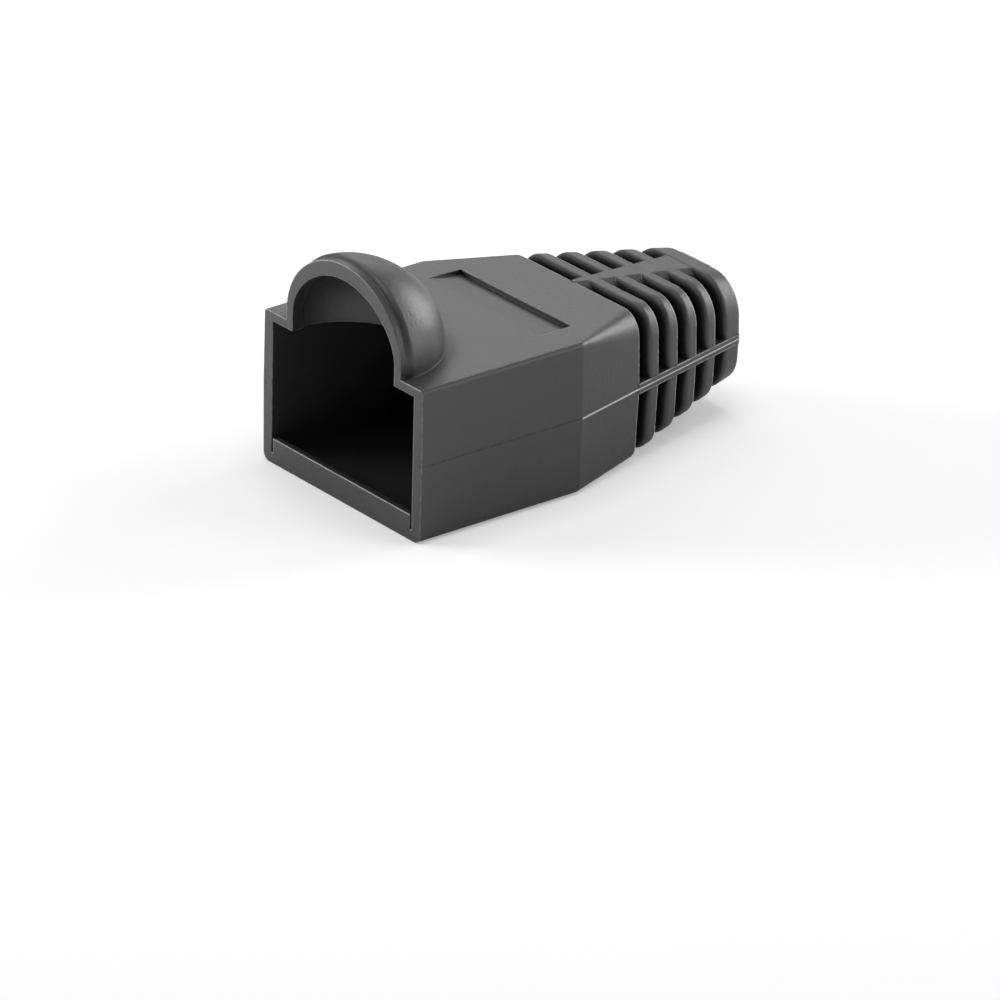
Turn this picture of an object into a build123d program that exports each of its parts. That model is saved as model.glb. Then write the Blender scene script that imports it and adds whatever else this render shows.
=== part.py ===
from build123d import *
import math
import os

# Strain relief boot for an 8P8C modular plug, moulded in one piece of soft PVC.
# The mouth that takes the plug faces -Y, the cable leaves along +Y and +Z is up.
# The origin lies on the flat base, at the middle of the mouth's edge.
# All lengths are in millimetres and all angles in degrees.

# Plug that the boot slides over
plug_width = 11.68
plug_side_clearance = 0.20

# Walls of the plug cavity
side_wall = 0.75
top_wall = 0.53
base_wall = 0.62
cavity_height = 7.65

# Straight front part and the taper behind it
straight_length = 10.73
taper_length = 4.93
bend_width = 13.84
neck_width = 11.52
neck_top_drop = 0.10

# Height of the mould's parting line, where the sides are widest
parting_height = 4.45
mouth_draft = 0.8
tail_draft = 2.6
side_radius = 4.0

# Edge rounding of the cross-sections
top_edge_radius = 0.20
base_edge_radius = 0.50
neck_top_radius = 1.32
neck_base_radius = 1.05
tail_top_radius = 2.15
tail_base_radius = 1.85

# Flexible tail: ribs stand on a round core, with a collar at the end
rib_count = 4
rib_pitch = 1.65
slot_width = 0.72
rib_front_radius = 0.38
collar_length = 1.40
tail_end_width = 7.64
tail_end_top = 7.82
tail_end_base = 1.50

# Round core of the tail and the thin webs that join the ribs at the sides
cable_axis_height = 4.65
cable_bore = 5.60
core_neck_wall = 0.70
core_end_wall = 0.35
web_thickness = 0.58
web_stand = 0.04

# Spines along the top and the bottom of the tail, wider towards the end
spine_neck_width = 0.40
spine_end_width = 2.50
spine_flank_spread = 1.15
spine_flank_drop = 0.62

# Cable passage between the plug cavity and the bore
plug_stop_width = 0.75
bore_lead = 0.55

# Hood over the plug's latch: an arched rim at the mouth and a rounder bubble behind it
hood_spring_height = 9.30
rim_half_width = 4.86
rim_rise = 4.30
rim_shoulder_radius = 3.90
rim_side_wall = 0.51
rim_crown_wall = 0.87
rim_inner_shoulder_radius = 2.50
bubble_centre_y = 0.35
bubble_half_width = 5.06
bubble_rise = 4.50
bubble_shoulder_radius = 4.00
bubble_front = 0.30
bubble_front_radius = 0.45
bubble_side_wall = 0.44
bubble_crown_wall = 0.75
bubble_inner_shoulder_radius = 3.00
bubble_inner_front = 0.75

# Lip across the bottom of the mouth, cut free from the side walls
lip_height = 0.84
lip_thickness = 0.35
lip_root_thickness = 0.70
lip_slit = 0.14

# Wedge-shaped finger notch in the top face, deepest at its rear wall
notch_width = 9.40
notch_front = 9.40
notch_rear = 11.70
notch_depth = 0.30

# Sizes that follow from those above
cavity_width = plug_width + 2 * plug_side_clearance
mouth_width = cavity_width + 2 * side_wall
ceiling_height = base_wall + cavity_height
body_height = ceiling_height + top_wall
neck_y = straight_length + taper_length
neck_top = body_height - neck_top_drop
rib_thickness = rib_pitch - slot_width
tail_length = rib_count * rib_pitch + slot_width + collar_length
end_y = neck_y + tail_length
tail_side_slope = math.degrees(math.atan((neck_width - tail_end_width) / 2 / tail_length))
overrun = 2.0


def upright_plane(y):
    """Plane across the boot at y, with its own x along +X and its own y along +Z."""
    return Plane(origin=(0, y, 0), x_dir=(1, 0, 0), z_dir=(0, -1, 0))


def cross_section(y, width, low, high, draft, low_radius, high_radius):
    """Rounded outline that is widest at the parting line and drafts in above and below it."""
    half_width = width / 2
    lean = math.tan(math.radians(draft))
    high_half = half_width - (high - parting_height) * lean
    low_half = half_width - (parting_height - low) * lean
    outline = Polyline(
        (high_half, high),
        (half_width, parting_height),
        (low_half, low),
        (-low_half, low),
        (-half_width, parting_height),
        (-high_half, high),
        close=True,
    )
    face = make_face(outline)
    face = fillet(face.vertices().group_by(Axis.Y)[0], low_radius)
    face = fillet(face.vertices().group_by(Axis.Y)[-1], high_radius)
    face = fillet(face.vertices().sort_by(Axis.X)[0], side_radius)
    face = fillet(face.vertices().sort_by(Axis.X)[-1], side_radius)
    return upright_plane(y) * face


def front_section(y, width):
    """Cross-section of the straight front part."""
    return cross_section(y, width, 0, body_height, mouth_draft, base_edge_radius, top_edge_radius)


def tail_section(y, stand=0):
    """Cross-section of the tail's evenly tapering outer form, or of one raised by this much."""
    share = (y - neck_y) / tail_length

    def between(at_neck, at_end):
        return at_neck + share * (at_end - at_neck)

    return cross_section(
        y,
        between(neck_width, tail_end_width) + 2 * stand,
        between(0, tail_end_base) + stand,
        between(neck_top, tail_end_top) + stand,
        tail_draft,
        between(neck_base_radius, tail_base_radius) + stand,
        between(neck_top_radius, tail_top_radius) + stand,
    )


def make_body():
    """Straight front part and the taper, as one closed form."""
    mouth = front_section(0, mouth_width)
    bend = front_section(straight_length, bend_width)
    return loft([mouth, bend], ruled=True) + loft([bend, tail_section(neck_y)], ruled=True)


def make_plate(front_y, rear_y):
    """One rib or the collar: wider at its rounded front edge, with a sharp rear edge."""
    plate = extrude(tail_section(rear_y), rear_y - front_y)
    rim_faces = plate.faces().sort_by(Axis.Y)[1:-1]
    rear_plane = Plane(origin=(0, rear_y, 0), z_dir=(0, 1, 0))
    plate = draft(rim_faces, neutral_plane=rear_plane, angle=tail_side_slope)
    front_face = plate.faces().sort_by(Axis.Y)[0]
    return fillet(front_face.edges(), rib_front_radius)


def make_core():
    """Round tapering core around the cable, from inside the neck to the end."""
    start_y = neck_y - bore_lead
    profile = Polyline(
        (0, start_y),
        (cable_bore / 2 + core_neck_wall, start_y),
        (cable_bore / 2 + core_end_wall, end_y),
        (0, end_y),
        close=True,
    )
    return Pos(0, 0, cable_axis_height) * revolve(make_face(profile), Axis.Y)


def make_webs():
    """Slab along the parting line, for the thin webs that join all the ribs at both sides."""
    slab = Box(2 * neck_width, tail_length, web_thickness)
    return Pos(0, neck_y + tail_length / 2, parting_height) * slab


def spine_section(y, top_width, low, high):
    """Both spines at y: roof-shaped at the top and the bottom, this wide at high and low."""
    slope = spine_flank_drop / spine_flank_spread
    ridge = slope * top_width / 2
    waist = top_width / 2 + spine_flank_spread
    outline = Polyline(
        (0, high + ridge),
        (waist, high - spine_flank_drop),
        (waist, low + spine_flank_drop),
        (0, low - ridge),
        (-waist, low + spine_flank_drop),
        (-waist, high - spine_flank_drop),
        close=True,
    )
    return upright_plane(y) * make_face(outline)


def make_spines():
    """Top and bottom spines, as one wedge that passes through the core."""
    at_neck = spine_section(neck_y, spine_neck_width, 0, neck_top)
    at_end = spine_section(end_y, spine_end_width, tail_end_base, tail_end_top)
    return loft([at_neck, at_end], ruled=True)


def make_tail():
    """Core, ribs and collar, with webs and a top spine that stand a hair proud of the ribs."""
    envelope = loft([tail_section(neck_y, web_stand), tail_section(end_y, web_stand)], ruled=True)
    tail = make_core() + (envelope & make_webs()) + (envelope & make_spines())
    for index in range(rib_count):
        front_y = neck_y + index * rib_pitch + slot_width
        tail += make_plate(front_y, front_y + rib_thickness)
    return tail + make_plate(end_y - collar_length, end_y)


def make_crown(half_width, rise, shoulder_radius):
    """Arch curve: a shoulder arc tangent to the upright wall, then a flatter arc to the top."""
    inset = half_width - shoulder_radius
    lift = rise - shoulder_radius
    crown_radius = (inset ** 2 + lift ** 2) / (2 * lift) + shoulder_radius
    crown_centre = hood_spring_height + rise - crown_radius
    meeting_angle = math.atan2(hood_spring_height - crown_centre, inset)

    def on_arc(centre_x, centre_z, radius, angle):
        return centre_x + radius * math.cos(angle), centre_z + radius * math.sin(angle)

    foot = (half_width, hood_spring_height)
    meeting = on_arc(0, crown_centre, crown_radius, meeting_angle)
    shoulder_middle = on_arc(inset, hood_spring_height, shoulder_radius, meeting_angle / 2)
    crown_middle = on_arc(0, crown_centre, crown_radius, (meeting_angle + math.pi / 2) / 2)
    top = (0, hood_spring_height + rise)
    return ThreePointArc(foot, shoulder_middle, meeting) + ThreePointArc(meeting, crown_middle, top)


def half_arch(half_width, rise, shoulder_radius, foot):
    """Right half of the arch as a closed outline, from the foot's height up to the top."""
    wall = Polyline((0, foot), (half_width, foot), (half_width, hood_spring_height))
    axis_line = Line((0, hood_spring_height + rise), (0, foot))
    return make_face(wall + make_crown(half_width, rise, shoulder_radius) + axis_line)


def make_dome(half_width, rise, shoulder_radius, foot, front):
    """The arch turned about the bubble's upright axis, kept only behind the given front."""
    profile = Plane.XZ * half_arch(half_width, rise, shoulder_radius, foot)
    dome = Pos(0, bubble_centre_y, 0) * revolve(profile, Axis.Z)
    keep = Pos(0, front, foot) * Box(
        4 * half_width, 4 * half_width, 2 * body_height, align=(Align.CENTER, Align.MIN, Align.MIN)
    )
    return dome & keep


def make_arch_bar(half_width, rise, shoulder_radius, foot, front, rear):
    """The arch drawn out straight from front to rear."""
    right = half_arch(half_width, rise, shoulder_radius, foot)
    whole = right + mirror(right, Plane.YZ)
    return extrude(upright_plane(rear) * whole, rear - front)


def make_hood():
    """Outer form of the hood: the straight rim, and the bubble with its rounded front edge."""
    foot = ceiling_height
    rim = make_arch_bar(rim_half_width, rim_rise, rim_shoulder_radius, foot, 0, 2 * bubble_inner_front)
    bubble = make_dome(bubble_half_width, bubble_rise, bubble_shoulder_radius, foot, bubble_front)
    front_face = bubble.faces().sort_by(Axis.Y)[0]
    arch_edges = front_face.edges().filter_by(lambda edge: edge.center().Z > foot + 0.1)
    return fillet(arch_edges, bubble_front_radius) + rim


def make_hood_cavity():
    """Space for the plug's latch, open to the front and down into the plug cavity."""
    foot = ceiling_height - overrun
    opening = make_arch_bar(
        rim_half_width - rim_side_wall,
        rim_rise - rim_crown_wall,
        rim_inner_shoulder_radius,
        foot,
        -overrun,
        2 * bubble_inner_front,
    )
    bubble = make_dome(
        bubble_half_width - bubble_side_wall,
        bubble_rise - bubble_crown_wall,
        bubble_inner_shoulder_radius,
        foot,
        bubble_inner_front,
    )
    return opening + bubble


def make_notch():
    """Wedge cut into the top face, flush at its front and deepest at its rear wall."""
    profile = Polyline(
        (notch_front, body_height),
        (notch_front, body_height + overrun),
        (notch_rear, body_height + overrun),
        (notch_rear, body_height - notch_depth),
        close=True,
    )
    return extrude(Plane.YZ * make_face(profile), notch_width / 2, both=True)


def make_plug_cavity():
    """Space for the plug, with the lip left standing across the bottom of the mouth."""
    cavity = Pos(0, -overrun, base_wall) * Box(
        cavity_width,
        straight_length + overrun,
        cavity_height,
        align=(Align.CENTER, Align.MIN, Align.MIN),
    )
    lip_profile = Polyline(
        (0, 0),
        (0, base_wall + lip_height),
        (lip_thickness, base_wall + lip_height),
        (lip_root_thickness, base_wall),
        (lip_root_thickness, 0),
        close=True,
    )
    lip = extrude(Plane.YZ * make_face(lip_profile), cavity_width / 2 - lip_slit, both=True)
    return cavity - lip


def make_funnel():
    """Four-sided funnel behind the plug's stop, where its wedge from above meets the one from the side."""
    stop_half_width = cavity_width / 2 - plug_stop_width
    bore_radius = cable_bore / 2
    rear_y = neck_y - bore_lead
    from_above = Polyline(
        (-stop_half_width, straight_length),
        (stop_half_width, straight_length),
        (bore_radius, rear_y),
        (-bore_radius, rear_y),
        close=True,
    )
    from_side = Polyline(
        (straight_length, base_wall + plug_stop_width),
        (straight_length, ceiling_height - plug_stop_width),
        (rear_y, cable_axis_height + bore_radius),
        (rear_y, cable_axis_height - bore_radius),
        close=True,
    )
    upright_wedge = extrude(make_face(from_above), body_height)
    return upright_wedge & extrude(Plane.YZ * make_face(from_side), cavity_width / 2, both=True)


def make_cable_passage():
    """Funnel behind the plug's stop, and the round bore through the tail."""
    bore = Cylinder(
        radius=cable_bore / 2,
        height=bore_lead + tail_length + overrun,
        align=(Align.CENTER, Align.CENTER, Align.MIN),
    )
    bore_place = Location((0, neck_y - bore_lead, cable_axis_height), (-90, 0, 0))
    return make_funnel() + bore_place * bore


def make_boot():
    """The whole moulding."""
    boot = make_body() - make_notch() + make_hood() + make_tail()
    return boot - make_plug_cavity() - make_hood_cavity() - make_cable_passage()


os.makedirs("parts", exist_ok=True)
boot = make_boot()
export_step(boot, "parts/boot.step")
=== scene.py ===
"""Studio scene of a moulded strain relief boot for a modular plug.

The boot is one moulding of charcoal soft PVC. It lies on a white table, seen from its open mouth
with the ribbed tail running away to the right. All lengths here are in metres.
"""

import logging
import math
from dataclasses import dataclass, field
from enum import Enum

import bpy
from mathutils import Matrix, Vector


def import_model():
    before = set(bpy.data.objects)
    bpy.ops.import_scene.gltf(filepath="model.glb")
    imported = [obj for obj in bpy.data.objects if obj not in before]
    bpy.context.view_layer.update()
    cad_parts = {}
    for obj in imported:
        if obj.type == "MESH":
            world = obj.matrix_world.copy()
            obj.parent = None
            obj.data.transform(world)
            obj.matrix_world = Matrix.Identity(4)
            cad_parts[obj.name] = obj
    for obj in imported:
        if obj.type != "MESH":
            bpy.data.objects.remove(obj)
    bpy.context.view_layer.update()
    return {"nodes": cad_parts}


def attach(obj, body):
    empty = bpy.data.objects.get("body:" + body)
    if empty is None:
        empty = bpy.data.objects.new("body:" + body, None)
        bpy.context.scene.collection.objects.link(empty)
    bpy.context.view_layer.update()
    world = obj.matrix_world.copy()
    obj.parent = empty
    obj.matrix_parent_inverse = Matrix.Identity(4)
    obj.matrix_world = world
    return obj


LOG = logging.getLogger("boot_scene")
MM = 0.001
ROOT_BODY = "root"
BOOT_NODE = "boot"


class Side(Enum):
    """The two long sides of the boot."""

    LEFT = -1.0
    RIGHT = 1.0


def linear_colour(hex_code: str) -> tuple[float, float, float, float]:
    """Turns an sRGB hex colour into the linear colour that the nodes take.

    Args:
        hex_code: Six hex digits with a leading hash.

    Returns:
        Linear red, green, blue and an alpha of one.
    """
    digits = hex_code.lstrip("#")
    channels = []
    for start in (0, 2, 4):
        value = int(digits[start : start + 2], 16) / 255.0
        channels.append(value / 12.92 if value <= 0.04045 else ((value + 0.055) / 1.055) ** 2.4)
    return channels[0], channels[1], channels[2], 1.0


def add_node(
    tree: bpy.types.NodeTree,
    kind: str,
    settings: dict[str, object] | None = None,
    values: dict[str, object] | None = None,
    links: dict[str, bpy.types.NodeSocket] | None = None,
) -> bpy.types.Node:
    """Adds one node with its settings, its fixed input values and its links.

    Args:
        tree: The tree that gets the node.
        kind: The node's type name.
        settings: Attributes of the node itself.
        values: Fixed values by input name, or by index written as digits.
        links: Output sockets that feed the inputs of these names.

    Returns:
        The new node.
    """
    node = tree.nodes.new(kind)
    for name, value in (settings or {}).items():
        setattr(node, name, value)
    for name, value in (values or {}).items():
        find_input(node, name).default_value = value
    for name, socket in (links or {}).items():
        tree.links.new(socket, find_input(node, name))
    return node


def direction(azimuth_degrees: float, elevation_degrees: float) -> Vector:
    """Unit vector towards a place around the boot.

    Args:
        azimuth_degrees: Turn to the right about +Z, where zero looks into the mouth.
        elevation_degrees: Height above the table.

    Returns:
        The unit vector from the boot.
    """
    azimuth = math.radians(azimuth_degrees)
    elevation = math.radians(elevation_degrees)
    level = math.cos(elevation)
    return Vector((math.sin(azimuth) * level, -math.cos(azimuth) * level, math.sin(elevation)))


def find_input(node: bpy.types.Node, name: str) -> bpy.types.NodeSocket:
    """Finds an input socket by its name, or by its index where the name is digits."""
    return node.inputs[int(name)] if name.isdigit() else node.inputs[name]


def combine(
    tree: bpy.types.NodeTree,
    operation: str,
    first: bpy.types.NodeSocket,
    second: bpy.types.NodeSocket,
) -> bpy.types.NodeSocket:
    """Joins two values by one arithmetic operation.

    Args:
        tree: The tree that gets the node.
        operation: The operation's name, such as MULTIPLY.
        first: The first value.
        second: The second value.

    Returns:
        The result.
    """
    node = add_node(
        tree, "ShaderNodeMath", settings={"operation": operation}, links={"0": first, "1": second}
    )
    return node.outputs["Value"]


def blend_colours(
    tree: bpy.types.NodeTree,
    share: bpy.types.NodeSocket,
    first: bpy.types.NodeSocket | str,
    second: bpy.types.NodeSocket | str,
) -> bpy.types.NodeSocket:
    """Blends two colours, each given as a socket or as a hex colour.

    Args:
        tree: The tree that gets the node.
        share: Share of the second colour, from zero to one.
        first: The first colour.
        second: The second colour.

    Returns:
        The blended colour.
    """
    values = {}
    links = {"0": share}
    for name, colour in (("6", first), ("7", second)):
        if isinstance(colour, str):
            values[name] = linear_colour(colour)
        else:
            links[name] = colour
    node = add_node(
        tree, "ShaderNodeMix", settings={"data_type": "RGBA"}, values=values, links=links
    )
    return node.outputs[2]


@dataclass(frozen=True)
class Ramp:
    """The two levels of a measure between which a share goes from its low to its high end."""

    start: float
    end: float


def ramped_share(
    tree: bpy.types.NodeTree,
    measure: bpy.types.NodeSocket,
    ramp: Ramp,
    low: float = 0.0,
    high: float = 1.0,
) -> bpy.types.NodeSocket:
    """Turns a measure into a share that changes along a ramp and is level outside it.

    Args:
        tree: The tree that gets the node.
        measure: The measured value.
        ramp: The levels at which the share starts and ends its change.
        low: The share at the ramp's start.
        high: The share at the ramp's end.

    Returns:
        The share.
    """
    node = add_node(
        tree,
        "ShaderNodeMapRange",
        values={"1": ramp.start, "2": ramp.end, "3": low, "4": high},
        links={"Value": measure},
    )
    return node.outputs["Result"]


def noise_pattern(
    tree: bpy.types.NodeTree,
    place: bpy.types.NodeSocket,
    size: float,
    detail: float,
    roughness: float,
) -> bpy.types.NodeSocket:
    """Makes a soft random pattern.

    Args:
        tree: The tree that gets the node.
        place: Object coordinates.
        size: Size of the pattern's largest patches in metres.
        detail: How many finer layers it has.
        roughness: How strong the finer layers are.

    Returns:
        The pattern's value, about a half on average.
    """
    node = add_node(
        tree,
        "ShaderNodeTexNoise",
        values={"Scale": 1.0 / size, "Detail": detail, "Roughness": roughness},
        links={"Vector": place},
    )
    return node.outputs["Fac"]


@dataclass(frozen=True)
class MouldedSoftPvc:
    """Charcoal soft PVC, injection moulded against a finely spark-eroded steel mould.

    Plasticised PVC gives a dull sheen rather than a gloss, so the flat faces show one broad grey
    glow. The outer edges get a paler colour as a painted highlight, and the deep slots and the
    inside of the mouth get a darker colour and a darkened reflection as painted shade. The eroded
    mould leaves a very fine grain, and along the straight sides a thin dark line is painted as the
    shadow where the two mould halves meet.
    """

    name: str = "charcoal_soft_pvc"
    base_hex: str = "#272728"
    pale_hex: str = "#303031"
    # Painted shade: the darker colour of the slots and the inside of the mouth
    slot_shade_hex: str = "#1a1a1b"
    full_sheen_hex: str = "#ffffff"
    # Painted shade: the darkened reflection in the slots and the inside of the mouth
    slot_shaded_sheen_hex: str = "#585858"
    # Painted highlight: the paler colour of the outer edges
    edge_highlight_hex: str = "#acacad"
    # Painted shadow: the thin dark line where the mould halves meet
    witness_shadow_hex: str = "#0b0b0b"
    roughness: float = 0.42
    roughness_dip: float = 0.05
    roughness_rise: float = 0.08
    slot_roughness: float = 0.80
    ior: float = 1.53
    grain_size_mm: float = 0.22
    grain_depth_mm: float = 0.028
    grain_strength: float = 0.60
    flow_size_mm: float = 5.0
    edge_radius_mm: float = 0.13
    witness_height_mm: float = 4.49
    witness_half_width_mm: float = 0.055
    witness_break_mm: float = 0.35
    witness_least_share: float = 0.35
    straight_length_mm: float = 10.73
    side_start_mm: float = 6.4
    tail_start_mm: float = 15.66
    # Where the painted edge highlight starts to grow, how it fades in and out, and its share at
    # the mouth
    edge_highlight_start_mm: float = 4.0
    edge_highlight_break_mm: float = 0.55
    edge_highlight_least_share: float = 0.40
    mouth_edge_highlight_share: float = 0.35
    # Where the painted slot shade starts ahead of the tail, its share before that, and how far the
    # occlusion probes reach
    slot_shade_lead_mm: float = 0.2
    corner_shade_share: float = 0.25
    occlusion_reach_mm: float = 1.1
    enclosed_shade_reach_mm: float = 5.0
    ray_samples: int = 8
    # Agreement of the rounded edge's normal with the face's own, from a flat face to an edge with
    # the full painted highlight
    edge_agreement: Ramp = Ramp(0.975, 0.88)
    # Openness is one on a free face and zero where near faces close a place in on all sides
    slot_shade_openness: Ramp = Ramp(0.95, 0.74)
    enclosed_shade_openness: Ramp = Ramp(0.62, 0.28)
    edge_highlight_openness: Ramp = Ramp(0.62, 0.80)
    fade_levels: Ramp = Ramp(0.38, 0.55)

    def build(self) -> bpy.types.Material:
        """Builds the node material.

        Returns:
            The finished material.
        """
        material = bpy.data.materials.new(self.name)
        material.use_nodes = True
        tree = material.node_tree
        tree.nodes.clear()
        place = add_node(tree, "ShaderNodeTexCoord").outputs["Object"]
        grain = noise_pattern(tree, place, self.grain_size_mm * MM, detail=4.0, roughness=0.6)
        # Moulded edges are a little round, so each of them catches a thin line of light
        edge = add_node(
            tree,
            "ShaderNodeBevel",
            settings={"samples": self.ray_samples},
            values={"Radius": self.edge_radius_mm * MM},
        )
        colour = self.flow_colour(tree, place)
        # A thin dark line is painted as the shadow where the mould halves meet
        colour = self.add_witness_shadow_line(tree, colour, place)
        # Painted shade: slots and the inside of the mouth get a darker colour and a darkened
        # reflection, and a duller face than the outside
        slot = self.painted_shade_share(tree, place)
        colour = blend_colours(tree, slot, colour, self.slot_shade_hex)
        # Paler outer edges are a painted highlight
        colour = self.add_edge_highlights(tree, colour, edge.outputs["Normal"], place)
        # The reflection is darkened in the slots and inside as painted shade
        sheen = blend_colours(tree, slot, self.full_sheen_hex, self.slot_shaded_sheen_hex)
        # Fine grain left by the eroded mould face, which also breaks up the sheen
        bump = add_node(
            tree,
            "ShaderNodeBump",
            values={"Strength": self.grain_strength, "Distance": self.grain_depth_mm * MM},
            links={"Height": grain, "Normal": edge.outputs["Normal"]},
        )
        shader = add_node(
            tree,
            "ShaderNodeBsdfPrincipled",
            values={"IOR": self.ior},
            links={
                "Base Color": colour,
                "Specular Tint": sheen,
                "Roughness": self.grain_roughness(tree, grain, slot),
                "Normal": bump.outputs["Normal"],
            },
        )
        add_node(tree, "ShaderNodeOutputMaterial", links={"Surface": shader.outputs["BSDF"]})
        return material

    def grain_roughness(
        self, tree: bpy.types.NodeTree, grain: bpy.types.NodeSocket, slot: bpy.types.NodeSocket
    ) -> bpy.types.NodeSocket:
        """Lets the roughness follow the grain outside and makes it duller in the slots.

        Args:
            tree: The material's tree.
            grain: The grain's pattern.
            slot: Share of the painted shade in the slots and inside the mouth.

        Returns:
            The roughness.
        """
        outside = ramped_share(
            tree,
            grain,
            Ramp(0.0, 1.0),
            low=self.roughness - self.roughness_dip,
            high=self.roughness + self.roughness_rise,
        )
        blend = add_node(
            tree,
            "ShaderNodeMix",
            settings={"data_type": "FLOAT"},
            values={"3": self.slot_roughness},
            links={"0": slot, "2": outside},
        )
        return blend.outputs[0]

    def flow_colour(
        self, tree: bpy.types.NodeTree, place: bpy.types.NodeSocket
    ) -> bpy.types.NodeSocket:
        """Makes the colour faintly uneven, from the flow of the melt a few millimetres across.

        Args:
            tree: The material's tree.
            place: Object coordinates.

        Returns:
            The colour.
        """
        flow = noise_pattern(tree, place, self.flow_size_mm * MM, detail=3.0, roughness=0.55)
        return blend_colours(tree, flow, self.base_hex, self.pale_hex)

    def along_boot(
        self,
        tree: bpy.types.NodeTree,
        place: bpy.types.NodeSocket,
        start_mm: float,
        start_share: float,
    ) -> bpy.types.NodeSocket:
        """Share that rises along the boot, from a start to one where the tail begins.

        Args:
            tree: The material's tree.
            place: Object coordinates.
            start_mm: Distance from the mouth at which the share starts to rise.
            start_share: Share up to there.

        Returns:
            The share.
        """
        axes = add_node(tree, "ShaderNodeSeparateXYZ", links={"Vector": place})
        rise = Ramp(start_mm * MM, self.tail_start_mm * MM)
        return ramped_share(tree, axes.outputs["Y"], rise, low=start_share)

    def add_edge_highlights(
        self,
        tree: bpy.types.NodeTree,
        colour: bpy.types.NodeSocket,
        edge_normal: bpy.types.NodeSocket,
        place: bpy.types.NodeSocket,
    ) -> bpy.types.NodeSocket:
        """Paints a highlight on the outer edges as a paler colour, strongest on the tail.

        Args:
            tree: The material's tree.
            colour: The colour so far.
            edge_normal: Normal of the slightly rounded edges, which leaves the face's own there.
            place: Object coordinates.

        Returns:
            The new colour.
        """
        face = add_node(tree, "ShaderNodeNewGeometry")
        agreement = add_node(
            tree,
            "ShaderNodeVectorMath",
            settings={"operation": "DOT_PRODUCT"},
            links={"0": edge_normal, "1": face.outputs["Normal"]},
        )
        highlight_share = ramped_share(tree, agreement.outputs["Value"], self.edge_agreement)
        limits = [
            self.along_boot(tree, place, self.edge_highlight_start_mm, self.mouth_edge_highlight_share),
            # The painted highlight stays on the outer edges and off the inner corners, which are
            # closed in
            self.by_openness(tree, self.occlusion_reach_mm, self.edge_highlight_openness),
            self.uneven_share(tree, place, self.edge_highlight_break_mm, self.edge_highlight_least_share),
        ]
        for limit in limits:
            highlight_share = combine(tree, "MULTIPLY", highlight_share, limit)
        return blend_colours(tree, highlight_share, colour, self.edge_highlight_hex)

    def uneven_share(
        self,
        tree: bpy.types.NodeTree,
        place: bpy.types.NodeSocket,
        size_mm: float,
        least_share: float,
    ) -> bpy.types.NodeSocket:
        """Share that fades in and out over the surface, so a painted line is broken and not drawn
        even.

        Args:
            tree: The material's tree.
            place: Object coordinates.
            size_mm: Size of the faded places.
            least_share: Share where the line is faintest.

        Returns:
            The share, from the least one to one.
        """
        pattern = noise_pattern(tree, place, size_mm * MM, detail=2.0, roughness=0.5)
        return ramped_share(tree, pattern, self.fade_levels, low=least_share)

    def by_openness(
        self, tree: bpy.types.NodeTree, reach_mm: float, ramp: Ramp
    ) -> bpy.types.NodeSocket:
        """Share that depends on how far other faces of the boot close a place in.

        Args:
            tree: The material's tree.
            reach_mm: How far away another face still counts.
            ramp: Levels of openness at which the share is zero and one.

        Returns:
            The share.
        """
        openness = add_node(
            tree,
            "ShaderNodeAmbientOcclusion",
            settings={"samples": self.ray_samples, "only_local": True},
            values={"Distance": reach_mm * MM},
        )
        return ramped_share(tree, openness.outputs["AO"], ramp)

    def painted_shade_share(
        self, tree: bpy.types.NodeTree, place: bpy.types.NodeSocket
    ) -> bpy.types.NodeSocket:
        """Finds the slots of the tail and the inside of the mouth, which get painted shade.

        Args:
            tree: The material's tree.
            place: Object coordinates.

        Returns:
            Zero on the open outside, rising to one in the slots and deep inside, where shade is
            painted.
        """
        # Painted shade where near faces close in the tail's slots, and deep inside the mouth
        near = self.by_openness(tree, self.occlusion_reach_mm, self.slot_shade_openness)
        slots_start_mm = self.tail_start_mm - self.slot_shade_lead_mm
        tail = self.along_boot(tree, place, slots_start_mm, self.corner_shade_share)
        inside = self.by_openness(tree, self.enclosed_shade_reach_mm, self.enclosed_shade_openness)
        return combine(tree, "MAXIMUM", combine(tree, "MULTIPLY", near, tail), inside)

    def add_witness_shadow_line(
        self, tree: bpy.types.NodeTree, colour: bpy.types.NodeSocket, place: bpy.types.NodeSocket
    ) -> bpy.types.NodeSocket:
        """Paints the thin broken dark line where the mould halves met as a painted shadow, on
        straight sides only.

        Args:
            tree: The material's tree.
            colour: The colour so far.
            place: Object coordinates.

        Returns:
            The new colour.
        """
        axes = add_node(tree, "ShaderNodeSeparateXYZ", links={"Vector": place})
        side_distance = add_node(
            tree,
            "ShaderNodeMath",
            settings={"operation": "ABSOLUTE"},
            links={"0": axes.outputs["X"]},
        )
        tests = [
            ("COMPARE", axes.outputs["Z"], self.witness_height_mm, self.witness_half_width_mm),
            ("LESS_THAN", axes.outputs["Y"], self.straight_length_mm, 0.0),
            ("GREATER_THAN", side_distance.outputs["Value"], self.side_start_mm, 0.0),
        ]
        share = self.uneven_share(tree, place, self.witness_break_mm, self.witness_least_share)
        for operation, socket, limit_mm, tolerance_mm in tests:
            test = add_node(
                tree,
                "ShaderNodeMath",
                settings={"operation": operation},
                values={"1": limit_mm * MM, "2": tolerance_mm * MM},
                links={"0": socket},
            )
            share = combine(tree, "MULTIPLY", share, test.outputs["Value"])
        return blend_colours(tree, share, colour, self.witness_shadow_hex)


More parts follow.
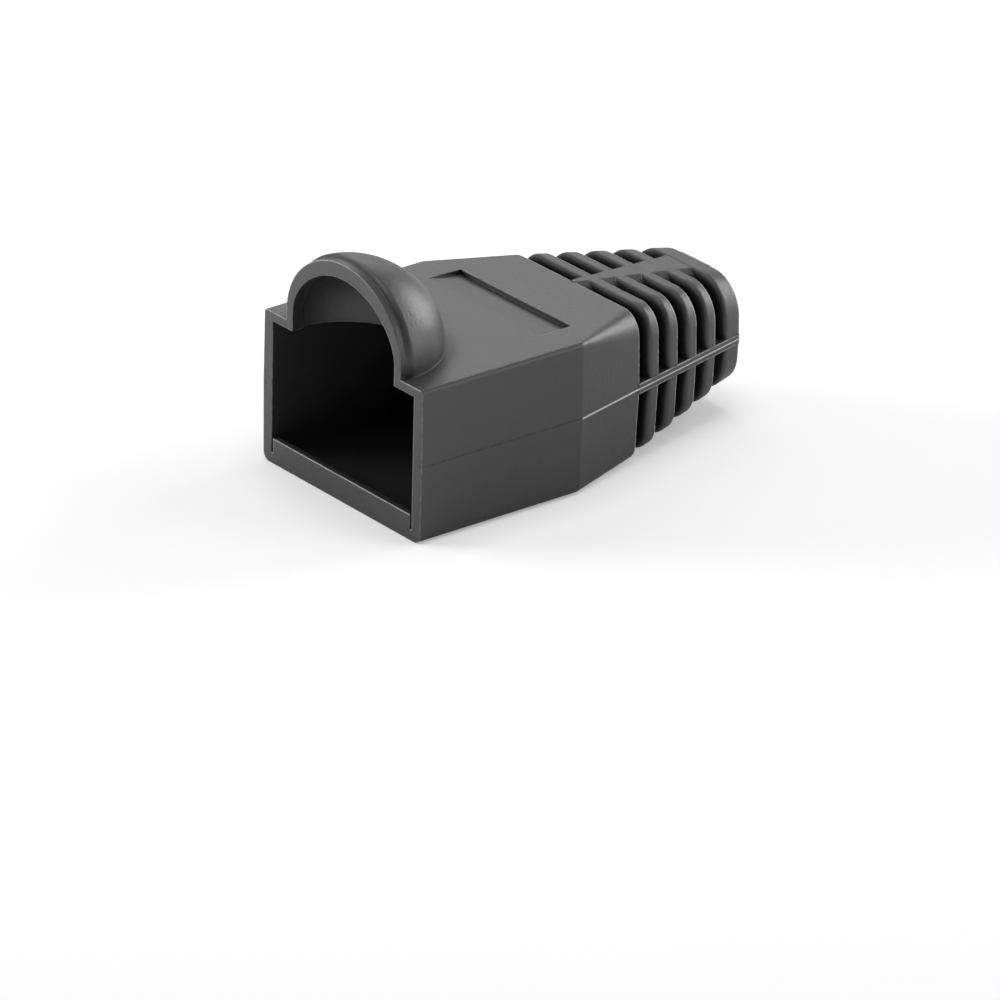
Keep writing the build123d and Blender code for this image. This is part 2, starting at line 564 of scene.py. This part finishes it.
@dataclass(frozen=True)
class WhitePaperSweep:
    """White background paper, exposed until it is white and only keeps the soft contact shadow."""

    name: str = "white_paper_sweep"
    paper_hex: str = "#f4f4f4"
    exposure_lift: float = 0.23

    def build(self) -> bpy.types.Material:
        """Builds the node material.

        Returns:
            The finished material.
        """
        material = bpy.data.materials.new(self.name)
        material.use_nodes = True
        tree = material.node_tree
        tree.nodes.clear()
        paper = add_node(
            tree,
            "ShaderNodeBsdfDiffuse",
            values={"Color": linear_colour(self.paper_hex), "Roughness": 1.0},
        )
        rays = add_node(tree, "ShaderNodeLightPath")
        lift = add_node(
            tree,
            "ShaderNodeMath",
            settings={"operation": "MULTIPLY"},
            values={"1": self.exposure_lift},
            links={"0": rays.outputs["Is Camera Ray"]},
        )
        white = add_node(
            tree,
            "ShaderNodeEmission",
            values={"Color": linear_colour("#ffffff")},
            links={"Strength": lift.outputs["Value"]},
        )
        both = add_node(
            tree,
            "ShaderNodeAddShader",
            links={"0": paper.outputs["BSDF"], "1": white.outputs["Emission"]},
        )
        add_node(tree, "ShaderNodeOutputMaterial", links={"Surface": both.outputs["Shader"]})
        return material


@dataclass
class MouldedBody:
    """The moulding itself, which comes from the solid model and gets its finish here."""

    finish: MouldedSoftPvc = field(default_factory=MouldedSoftPvc)

    def dress(self, node: bpy.types.Object) -> bpy.types.Material:
        """Gives the moulding its material.

        Args:
            node: The boot's object.

        Returns:
            The material.
        """
        material = self.finish.build()
        if node.material_slots:
            for slot in node.material_slots:
                slot.link = "DATA"
                slot.material = material
        else:
            node.data.materials.append(material)
        return material


@dataclass
class PartingFlash:
    """The thin raised line that the two mould halves leave along both sides of the boot."""

    height: float = 4.45 * MM
    line_radius: float = 0.055 * MM
    start_y: float = 10.73 * MM
    neck_y: float = 15.66 * MM
    end_y: float = 24.38 * MM
    start_half_width: float = 6.92 * MM
    neck_half_width: float = 5.76 * MM
    end_half_width: float = 3.82 * MM
    bead_corners: int = 8
    # The bead's pale colour is a painted highlight along its top
    finish: MouldedSoftPvc = field(
        default_factory=lambda: MouldedSoftPvc(
            name="parting_flash_painted_highlight",
            base_hex="#8c8c8d",
            pale_hex="#a0a0a1",
            slot_shade_hex="#565657",
        )
    )

    def route(self, side: Side) -> list[Vector]:
        """Corner points of the line on one side, on the widest edge of the moulding.

        Args:
            side: The side of the boot.

        Returns:
            Points from the bend to the cable end.
        """
        sign = side.value
        return [
            Vector((sign * self.start_half_width, self.start_y, self.height)),
            Vector((sign * self.neck_half_width, self.neck_y, self.height)),
            Vector((sign * self.end_half_width, self.end_y, self.height)),
        ]

    def bead_tree(self, material: bpy.types.Material) -> bpy.types.GeometryNodeTree:
        """Node tree that turns a chain of edges into a thin round bead.

        Args:
            material: The finish of the bead.

        Returns:
            The tree, with the bead's radius as a named input.
        """
        tree = bpy.data.node_groups.new("parting_bead", "GeometryNodeTree")
        tree.interface.new_socket("Geometry", in_out="INPUT", socket_type="NodeSocketGeometry")
        tree.interface.new_socket("Bead Radius", in_out="INPUT", socket_type="NodeSocketFloat")
        tree.interface.new_socket("Geometry", in_out="OUTPUT", socket_type="NodeSocketGeometry")
        given = add_node(tree, "NodeGroupInput")
        path = add_node(tree, "GeometryNodeMeshToCurve", links={"Mesh": given.outputs["Geometry"]})
        ring = add_node(
            tree,
            "GeometryNodeCurvePrimitiveCircle",
            values={"Resolution": self.bead_corners},
            links={"Radius": given.outputs["Bead Radius"]},
        )
        bead = add_node(
            tree,
            "GeometryNodeCurveToMesh",
            values={"Fill Caps": True},
            links={"Curve": path.outputs["Curve"], "Profile Curve": ring.outputs["Curve"]},
        )
        real = add_node(
            tree, "GeometryNodeRealizeInstances", links={"Geometry": bead.outputs["Mesh"]}
        )
        dressed = add_node(
            tree,
            "GeometryNodeSetMaterial",
            values={"Material": material},
            links={"Geometry": real.outputs["Geometry"]},
        )
        add_node(tree, "NodeGroupOutput", links={"Geometry": dressed.outputs["Geometry"]})
        return tree

    def build(self) -> bpy.types.Object:
        """Builds the line on both sides as one mesh.

        Returns:
            The finished piece.
        """
        points: list[Vector] = []
        edges: list[tuple[int, int]] = []
        for side in Side:
            first = len(points)
            points += self.route(side)
            edges += [(index, index + 1) for index in range(first, len(points) - 1)]
        rough = bpy.data.meshes.new("parting_flash_route")
        rough.from_pydata([tuple(point) for point in points], edges, [])
        piece = bpy.data.objects.new("parting_flash", rough)
        bpy.context.scene.collection.objects.link(piece)
        tree = self.bead_tree(self.finish.build())
        modifier = piece.modifiers.new("bead", "NODES")
        modifier.node_group = tree
        sockets = {
            item.name: item.identifier
            for item in tree.interface.items_tree
            if item.in_out == "INPUT"
        }
        modifier[sockets["Bead Radius"]] = self.line_radius
        bpy.context.view_layer.update()
        graph = bpy.context.evaluated_depsgraph_get()
        mesh = bpy.data.meshes.new_from_object(piece.evaluated_get(graph))
        piece.modifiers.clear()
        piece.data = mesh
        mesh.name = "parting_flash"
        bpy.data.meshes.remove(rough)
        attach(piece, ROOT_BODY)
        return piece


@dataclass
class StudioTable:
    """The white table under the boot."""

    half_size: float = 1.5
    sink: float = 0.01 * MM
    finish: WhitePaperSweep = field(default_factory=WhitePaperSweep)

    def build(self) -> bpy.types.Object:
        """Builds the table's top face.

        Returns:
            The table.
        """
        reach = self.half_size
        corners = [(-reach, -reach), (reach, -reach), (reach, reach), (-reach, reach)]
        mesh = bpy.data.meshes.new("studio_table")
        mesh.from_pydata([(x, y, -self.sink) for x, y in corners], [], [(0, 1, 2, 3)])
        mesh.materials.append(self.finish.build())
        table = bpy.data.objects.new("studio_table", mesh)
        bpy.context.scene.collection.objects.link(table)
        return table


@dataclass
class SoftBox:
    """One square studio lamp, aimed at the middle of the boot."""

    name: str
    azimuth_degrees: float
    elevation_degrees: float
    power: float
    size: float = 0.22
    distance: float = 0.40
    target: tuple[float, float, float] = (0.0, 0.012, 0.005)

    def build(self) -> bpy.types.Object:
        """Builds the lamp.

        Returns:
            The lamp's object.
        """
        data = bpy.data.lights.new(self.name, "AREA")
        data.shape = "SQUARE"
        data.size = self.size
        data.energy = self.power
        lamp = bpy.data.objects.new(self.name, data)
        bpy.context.scene.collection.objects.link(lamp)
        towards = direction(self.azimuth_degrees, self.elevation_degrees)
        lamp.location = Vector(self.target) + towards * self.distance
        lamp.rotation_euler = (-towards).to_track_quat("-Z", "Y").to_euler()
        return lamp


@dataclass
class StudioLight:
    """Soft lamps above, behind and on the left of the boot, a weak one behind it on the right, and
    a dim even surround.
    """

    surround_level: float = 0.25
    lamps: list[SoftBox] = field(
        default_factory=lambda: [
            SoftBox("overhead_softbox", 0.0, 88.0, 0.55),
            SoftBox("left_softbox", 312.0, 8.0, 2.35),
            SoftBox("rear_softbox", 176.0, 20.0, 1.20),
            SoftBox("rear_left_softbox", 228.0, 28.0, 0.28),
            SoftBox("high_left_softbox", 256.0, 46.0, 0.30),
            SoftBox("rear_right_softbox", 135.0, 14.0, 0.54),
        ]
    )

    def build(self) -> None:
        """Builds the lamps and the surround."""
        for lamp in self.lamps:
            lamp.build()
        world = bpy.data.worlds.new("white_surround")
        bpy.context.scene.world = world
        world.use_nodes = True
        tree = world.node_tree
        tree.nodes.clear()
        grey = add_node(
            tree,
            "ShaderNodeBackground",
            values={"Color": linear_colour("#ffffff"), "Strength": self.surround_level},
        )
        white = add_node(
            tree,
            "ShaderNodeBackground",
            values={"Color": linear_colour("#ffffff"), "Strength": 1.0},
        )
        rays = add_node(tree, "ShaderNodeLightPath")
        blend = add_node(
            tree,
            "ShaderNodeMixShader",
            links={
                "0": rays.outputs["Is Camera Ray"],
                "1": grey.outputs["Background"],
                "2": white.outputs["Background"],
            },
        )
        add_node(tree, "ShaderNodeOutputWorld", links={"Surface": blend.outputs["Shader"]})


@dataclass
class StudioCamera:
    """Long lens, a little above the boot and to the right of its mouth."""

    place: tuple[float, float, float] = (0.260641, -0.205143, 0.156223)
    azimuth_degrees: float = 50.3346
    elevation_degrees: float = 25.1835
    roll_degrees: float = 1.4923
    lens_mm: float = 249.05
    sensor_mm: float = 36.0

    def build(self) -> bpy.types.Object:
        """Builds the camera and makes it the scene's camera.

        Returns:
            The camera's object.
        """
        azimuth = math.radians(self.azimuth_degrees)
        roll = math.radians(self.roll_degrees)
        back = direction(self.azimuth_degrees, self.elevation_degrees)
        level_right = Vector((math.cos(azimuth), math.sin(azimuth), 0.0))
        level_up = back.cross(level_right)
        right = level_right * math.cos(roll) + level_up * math.sin(roll)
        up = back.cross(right)
        data = bpy.data.cameras.new("studio_camera")
        data.lens = self.lens_mm
        data.sensor_width = self.sensor_mm
        data.sensor_fit = "HORIZONTAL"
        data.clip_start = 0.01
        data.clip_end = 20.0
        camera = bpy.data.objects.new("studio_camera", data)
        bpy.context.scene.collection.objects.link(camera)
        turn = Matrix((right, up, back)).transposed().to_4x4()
        camera.matrix_world = Matrix.Translation(Vector(self.place)) @ turn
        bpy.context.scene.camera = camera
        return camera


def main() -> None:
    """Builds the scene piece by piece."""
    logging.basicConfig(level=logging.INFO, format="%(name)s: %(message)s")
    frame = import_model()
    bpy.context.scene.view_settings.view_transform = "Standard"
    pvc = MouldedBody().dress(frame["nodes"][BOOT_NODE])
    LOG.info("dressed %s in %s", BOOT_NODE, pvc.name)
    flash = PartingFlash().build()
    LOG.info("built %s with %d faces", flash.name, len(flash.data.polygons))
    table = StudioTable().build()
    LOG.info("built %s", table.name)
    StudioLight().build()
    camera = StudioCamera().build()
    LOG.info("placed the lamps and %s", camera.name)


if __name__ == "__main__":
    main()
